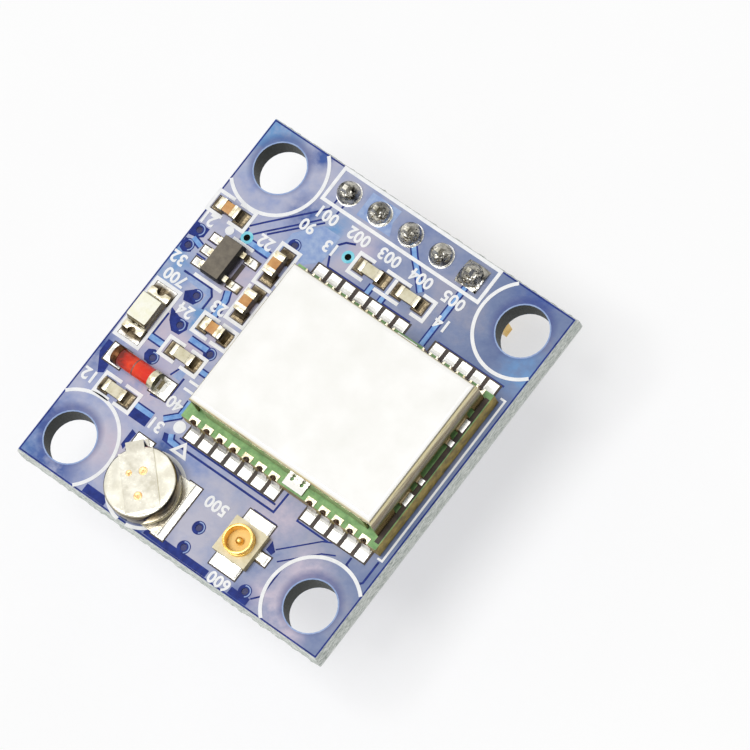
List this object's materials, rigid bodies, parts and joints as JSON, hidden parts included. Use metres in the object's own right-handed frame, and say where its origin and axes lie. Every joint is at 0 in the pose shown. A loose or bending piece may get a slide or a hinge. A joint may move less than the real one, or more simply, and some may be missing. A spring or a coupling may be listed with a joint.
{
  "type": "gps receiver module",
  "caption": "Small square circuit board carrying a shielded satellite receiver, antenna socket, backup cell, regulator, indicator and a pin header on its underside.",
  "frame": {"origin": "centre of the mounting-hole pattern, on the board's underside", "axes": "+Z out of the component side, +Y towards the header edge, +X along the header edge"},
  "size_m": [0.025, 0.027, 0.0137],
  "materials": {
    "board_mask": "light blue solder mask on glass-epoxy board",
    "module_mask": "green solder mask on glass-epoxy board",
    "solder": "bright tin solder",
    "gold_plate": "gold plating",
    "shield_steel": "bright tinned sheet",
    "cell_steel": "bright steel",
    "black_plastic": "moulded black plastic",
    "cream_plastic": "moulded cream plastic",
    "chip_black": "moulded epoxy",
    "ceramic_tan": "fired ceramic",
    "ceramic_white": "white ceramic",
    "coat": "pale glaze",
    "lens": "milky resin",
    "red_glass": "red glass"
  },
  "bodies": {
    "root": {"circuit_board": "board_mask", "solder_lands": "solder", "header_strip": "black_plastic", "header_solder": "solder", "module_board": "module_mask", "module_contacts": "gold_plate", "module_solder": "solder", "shield_can": "shield_steel", "shield_solder": "solder", "receiver_chip": "chip_black", "oscillator": "gold_plate", "clock_crystal": "cell_steel", "antenna_filter": "ceramic_white", "antenna_amplifier": "chip_black", "module_passives": "ceramic_tan", "socket_base": "cream_plastic", "socket_shell": "gold_plate", "socket_contact": "gold_plate", "cell_can": "cell_steel", "cell_gasket": "black_plastic", "cell_cap": "cell_steel", "cell_top_tab": "cell_steel", "cell_bottom_tab": "cell_steel", "led_base": "ceramic_white", "led_lens": "lens", "led_terminals": "solder", "diode_glass": "red_glass", "diode_cathode": "solder", "diode_anode": "solder", "diode_die": "chip_black", "regulator_body": "chip_black", "regulator_leads": "solder", "chip_solder": "solder", "header_pin_1": "gold_plate", "header_pin_2": "gold_plate", "header_pin_3": "gold_plate", "header_pin_4": "gold_plate", "header_pin_5": "gold_plate", "capacitor_1_body": "ceramic_tan", "capacitor_1_terminals": "solder", "resistor_1_body": "ceramic_white", "resistor_1_coat": "coat", "resistor_1_terminals": "solder", "capacitor_2_body": "ceramic_tan", "capacitor_2_terminals": "solder", "resistor_2_body": "ceramic_white", "resistor_2_coat": "coat", "resistor_2_terminals": "solder", "capacitor_3_body": "ceramic_tan", "capacitor_3_terminals": "solder", "resistor_3_body": "ceramic_white", "resistor_3_coat": "coat", "resistor_3_terminals": "solder", "capacitor_4_body": "ceramic_tan", "capacitor_4_terminals": "solder", "resistor_4_body": "ceramic_white", "resistor_4_coat": "coat", "resistor_4_terminals": "solder"}
  },
  "joints": []
}
